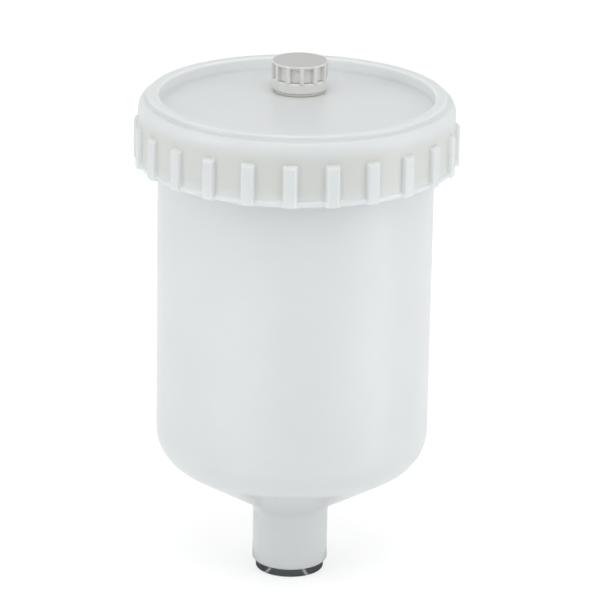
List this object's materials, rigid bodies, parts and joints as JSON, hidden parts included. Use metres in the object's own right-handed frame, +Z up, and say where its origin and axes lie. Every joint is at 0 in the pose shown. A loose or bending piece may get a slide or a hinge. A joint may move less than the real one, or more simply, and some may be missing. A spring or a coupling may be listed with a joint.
{
  "type": "paint cup",
  "caption": "Gravity-feed paint cup with a ribbed screw lid, a small vent cap, a conical floor and a metal-threaded outlet neck.",
  "frame": {"origin": "centre of the metal ring's bottom face, on the cup's axis", "axes": "+Z up the cup's axis from the outlet to the lid, +Y from the axis towards the vent at the back of the lid, +X to the right seen from the front"},
  "size_m": [0.1058, 0.1058, 0.171],
  "materials": {
    "cup_plastic": "translucent natural white, satin moulded",
    "lid_plastic": "translucent natural white, satin moulded",
    "vent_plastic": "very light grey, satin moulded",
    "nut_plastic": "natural white, satin moulded",
    "seal_rubber": "light grey, matt",
    "gasket_foam": "pale grey, matt",
    "insert_metal": "nickel plated, polished"
  },
  "bodies": {
    "cup": {"cup_body": "cup_plastic", "outlet_insert": "insert_metal"},
    "gasket": {"lid_gasket": "gasket_foam"},
    "lid": {"lid": "lid_plastic", "vent_stem": "vent_plastic", "vent_washer": "seal_rubber", "vent_nut": "nut_plastic"},
    "seal_disc": {"vent_seal": "seal_rubber"},
    "cap": {"vent_cap": "vent_plastic"}
  },
  "joints": [
    {"name": "lid_rise", "type": "slide", "parent": "cup", "child": "gasket", "axis": [0, 0, 1], "range_m": [0, 0.032]},
    {"name": "lid_turn", "type": "hinge", "parent": "gasket", "child": "lid", "pos_m": [0, 0, 0.1583], "axis": [0, 0, 1], "range_deg": [0, 1440]},
    {"name": "vent_rise", "type": "slide", "parent": "lid", "child": "seal_disc", "axis": [0, 0, 1], "range_m": [0, 0.0015]},
    {"name": "vent_turn", "type": "hinge", "parent": "seal_disc", "child": "cap", "pos_m": [0, 0.0185, 0.1683], "axis": [0, 0, 1], "range_deg": [0, 360]}
  ],
  "couplings": [
    {"joint": "lid_rise", "follows": "lid_turn", "m_per_rad": 0.0012732},
    {"joint": "vent_turn", "follows": "vent_rise", "rad_per_m": 4188.8}
  ]
}
